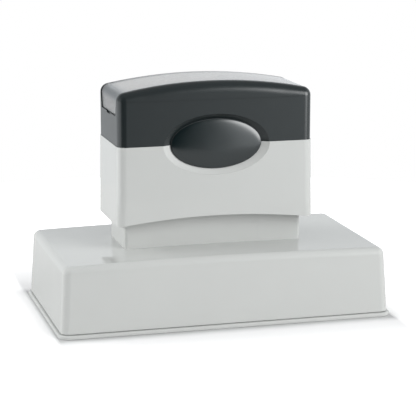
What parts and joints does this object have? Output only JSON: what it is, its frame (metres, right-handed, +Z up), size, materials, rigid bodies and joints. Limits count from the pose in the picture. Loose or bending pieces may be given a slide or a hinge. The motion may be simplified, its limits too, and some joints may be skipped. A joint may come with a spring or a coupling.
{
  "type": "pre-inked stamp",
  "caption": "Hand stamp with a sprung arched handle on a wide skirted base, a carried inked die, a clear index window and a lift-off dust cover.",
  "frame": {"origin": "middle of the dust cover's flat underside, which is the face the stamp rests on", "axes": "+X along the stamp's length, +Y from the badge side to the back, +Z up through the handle"},
  "size_m": [0.124, 0.0698, 0.0868],
  "materials": {
    "grey_plastic": "smooth light grey moulding",
    "cover_plastic": "smooth light grey moulding",
    "charcoal_plastic": "satin charcoal moulding",
    "clear_window": "clear moulding",
    "card": "plain grey card",
    "badge_black": "bare black label",
    "clear_dome": "clear domed resin",
    "white_plastic": "plain white moulding",
    "frame_plastic": "dark grey moulding",
    "bush_plastic": "dark bearing plastic",
    "zinc_steel": "zinc plated",
    "spring_steel": "drawn wire",
    "nut_brass": "turned",
    "ink_foam": "ink-soaked felt",
    "die_foam": "porous foam"
  },
  "bodies": {
    "dust_cover": {"dust_cover": "cover_plastic"},
    "base": {"base_skirt": "grey_plastic", "guide_bush_left": "bush_plastic", "guide_bush_right": "bush_plastic", "return_spring_left": "spring_steel", "return_spring_right": "spring_steel"},
    "handle": {"handle_shell": "grey_plastic", "top_cap": "charcoal_plastic", "index_card": "card", "badge_plate": "badge_black", "badge_dome": "clear_dome", "stem": "white_plastic", "stem_screws": "zinc_steel", "die_plate": "white_plastic", "die_plate_screws": "zinc_steel", "ink_pad": "ink_foam", "stamp_die": "die_foam", "die_frame": "frame_plastic", "guide_pin_left": "zinc_steel", "guide_pin_right": "zinc_steel", "lock_nut_left": "nut_brass", "lock_nut_right": "nut_brass"},
    "window": {"index_window": "clear_window"}
  },
  "joints": [
    {"name": "stamp_lift", "type": "slide", "parent": "dust_cover", "child": "base", "axis": [0, 0, 1], "range_m": [0, 0.03]},
    {"name": "handle_press", "type": "slide", "parent": "base", "child": "handle", "axis": [0, 0, -1], "range_m": [0, 0.007], "stiffness_N_per_m": 1600, "springref_m": -0.008, "deforming": ["return_spring_left", "return_spring_right"]},
    {"name": "window_lift", "type": "slide", "parent": "handle", "child": "window", "axis": [0, 0, 1], "range_m": [0, 0.018]}
  ]
}
